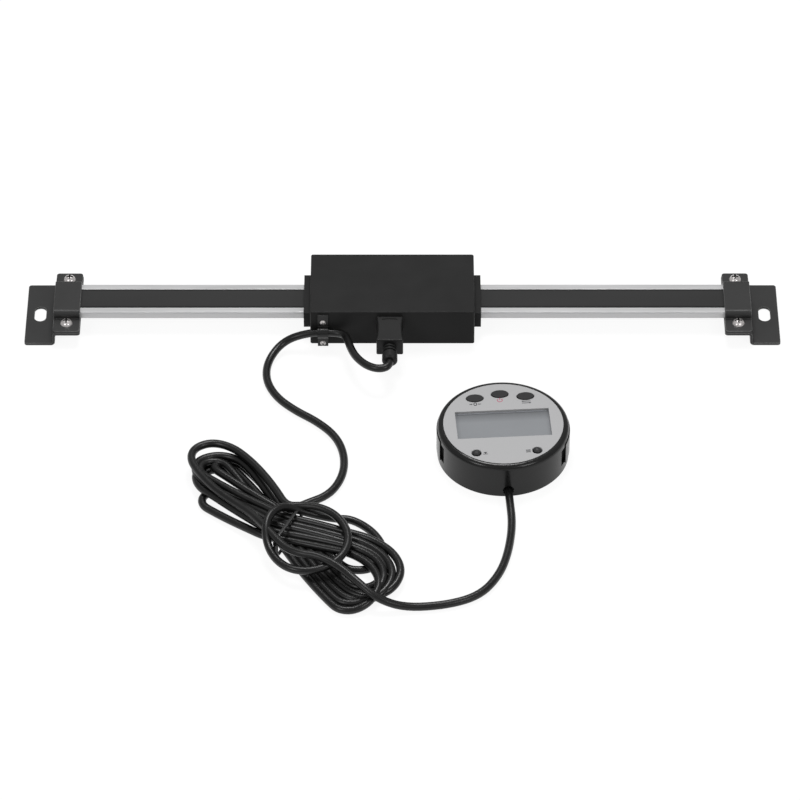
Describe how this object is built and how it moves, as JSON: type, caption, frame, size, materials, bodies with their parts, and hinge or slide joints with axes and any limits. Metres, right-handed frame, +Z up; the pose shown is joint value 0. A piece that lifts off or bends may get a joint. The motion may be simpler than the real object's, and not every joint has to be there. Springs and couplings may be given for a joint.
{
  "type": "digital linear scale",
  "caption": "Digital linear scale: reading head sliding on a slim rail between Z-bent end brackets, cabled to a round remote readout with LCD window and push buttons.",
  "frame": {"origin": "bottom centre of the box of rail, head and readout, on the mounting face of the brackets", "axes": "+X along the rail, +Y from the readout towards the rail, +Z up"},
  "size_m": [0.36, 0.2328, 0.0205],
  "materials": {
    "aluminium": "satin, anodised",
    "film": "satin dark film",
    "circuit_board": "solder mask",
    "black_paint": "glossy black",
    "screw_steel": "nickel plated",
    "black_plastic": "satin black",
    "guide_plastic": "smooth acetal",
    "felt": "felt",
    "spring_steel": "sheet",
    "plug_rubber": "satin",
    "cable": "satin",
    "gloss_black": "glossy",
    "faceplate": "fine satin",
    "window": "clear",
    "lcd": "grey display glass",
    "key": "satin",
    "contact_rubber": "matt",
    "contact_metal": "plated"
  },
  "bodies": {
    "rail": {"rail_extrusion": "aluminium", "scale_board": "circuit_board", "cover_film": "film", "left_bracket": "black_paint", "right_bracket": "black_paint", "left_strap": "black_paint", "right_strap": "black_paint", "strap_screws": "screw_steel"},
    "head": {"head_cover": "black_plastic", "head_base": "black_plastic", "base_screws": "screw_steel", "guide_body": "guide_plastic", "guide_keeper": "guide_plastic", "keeper_screws": "screw_steel", "glide_pads": "guide_plastic", "left_end_cap": "black_plastic", "right_end_cap": "black_plastic", "wipers": "felt", "sensor_board": "circuit_board", "sensor_spring": "spring_steel", "connector_socket": "black_plastic", "plug_shell": "spring_steel", "plug_body": "plug_rubber", "strain_relief": "plug_rubber", "cable_clip": "black_paint", "clip_screws": "screw_steel", "cable_lead": "cable", "cable_hank": "cable", "hank_tie": "gloss_black", "cable_tail": "cable", "display_case": "gloss_black", "display_faceplate": "faceplate", "lcd_window": "window", "lcd_panel": "lcd", "lcd_contacts": "contact_rubber", "display_board": "circuit_board", "button_switches": "gloss_black", "back_cover": "black_plastic", "back_screws": "screw_steel", "coin_cell": "spring_steel", "cell_contacts": "contact_metal", "cable_gland": "plug_rubber"},
    "zero_button": {"zero_button": "key"},
    "power_button": {"power_button": "key"},
    "unit_button": {"unit_button": "key"},
    "preset_button": {"preset_button": "key"},
    "mode_button": {"mode_button": "key"},
    "battery_door": {"battery_door": "black_plastic"}
  },
  "joints": [
    {"name": "head_slide", "type": "slide", "parent": "rail", "child": "head", "axis": [1, 0, 0], "range_m": [-0.1058, 0.1154]},
    {"name": "zero_press", "type": "slide", "parent": "head", "child": "zero_button", "axis": [0, 0, -1], "range_m": [0, 0.0003], "stiffness_N_per_m": 1500, "springref_m": -0.0004},
    {"name": "power_press", "type": "slide", "parent": "head", "child": "power_button", "axis": [0, 0, -1], "range_m": [0, 0.0003], "stiffness_N_per_m": 1500, "springref_m": -0.0004},
    {"name": "unit_press", "type": "slide", "parent": "head", "child": "unit_button", "axis": [0, 0, -1], "range_m": [0, 0.0003], "stiffness_N_per_m": 1500, "springref_m": -0.0004},
    {"name": "preset_press", "type": "slide", "parent": "head", "child": "preset_button", "axis": [0, 0, -1], "range_m": [0, 0.0003], "stiffness_N_per_m": 1500, "springref_m": -0.0004},
    {"name": "mode_press", "type": "slide", "parent": "head", "child": "mode_button", "axis": [0, 0, -1], "range_m": [0, 0.0003], "stiffness_N_per_m": 1500, "springref_m": -0.0004},
    {"name": "door_twist", "type": "hinge", "parent": "head", "child": "battery_door", "pos_m": [0.0466, -0.04482, 0.001], "axis": [0, 0, -1], "range_deg": [0, 45]}
  ]
}
